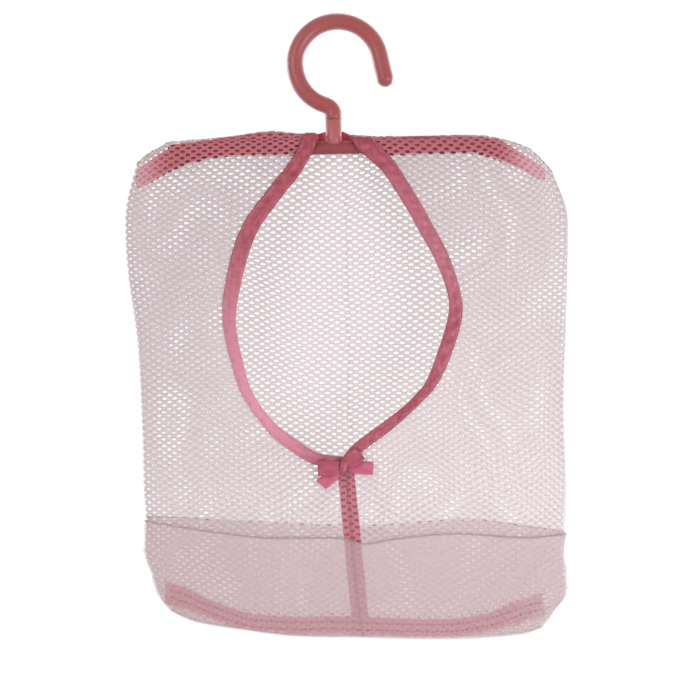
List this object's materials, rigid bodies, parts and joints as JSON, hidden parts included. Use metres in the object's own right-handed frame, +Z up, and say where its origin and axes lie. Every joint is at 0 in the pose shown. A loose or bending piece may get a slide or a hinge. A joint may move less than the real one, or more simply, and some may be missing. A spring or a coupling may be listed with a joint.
{
  "type": "mesh storage net",
  "caption": "Flat hanging net bag with a bound pointed-oval mouth, a sheer cloth base and a ribbon bow, sewn round the bar of a plastic hanger with a swivel hook.",
  "frame": {"origin": "on the hook's stem axis, level with the inside of the hook's crown, where the hook rests on a rail", "axes": "+Z up along the stem, +X to the right seen from the mouth's side, +Y towards the back of the bag"},
  "size_m": [0.2642, 0.0446, 0.3768],
  "materials": {
    "hanger_plastic": "moulded polypropylene, soft sheen",
    "net_cloth": "warp-knitted open net",
    "base_cloth": "sheer plain-woven organza",
    "binding_tape": "folded satin-faced tape",
    "neck_tape": "folded satin-faced tape, two layers",
    "seam_tape": "woven seam tape",
    "bow_ribbon": "double-faced satin ribbon"
  },
  "bodies": {
    "hook": {"hook": "hanger_plastic"},
    "hanger": {"hanger_bar": "hanger_plastic"},
    "bag": {"net_back": "net_cloth", "net_front_left": "net_cloth", "net_front_right": "net_cloth", "base_cloth_back": "base_cloth", "base_cloth_front_left": "base_cloth", "base_cloth_front_right": "base_cloth", "mouth_binding_left": "binding_tape", "mouth_binding_right": "binding_tape", "neck_binding": "neck_tape", "top_seam_tape_left": "seam_tape", "top_seam_tape_right": "seam_tape", "centre_seam_tape": "seam_tape", "bottom_seam_tape": "seam_tape", "bow_knot": "bow_ribbon", "bow_loop_left": "bow_ribbon", "bow_loop_right": "bow_ribbon", "bow_tail_left": "bow_ribbon", "bow_tail_right": "bow_ribbon"}
  },
  "joints": [
    {"name": "hook_swivel", "type": "hinge", "parent": "hook", "child": "hanger", "pos_m": [0, 0, -0.0541], "axis": [0, 0, 1], "continuous": true},
    {"name": "bag_swing", "type": "hinge", "parent": "hanger", "child": "bag", "pos_m": [0, 0, -0.0708], "axis": [1, 0, 0], "range_deg": [-25, 8]}
  ]
}
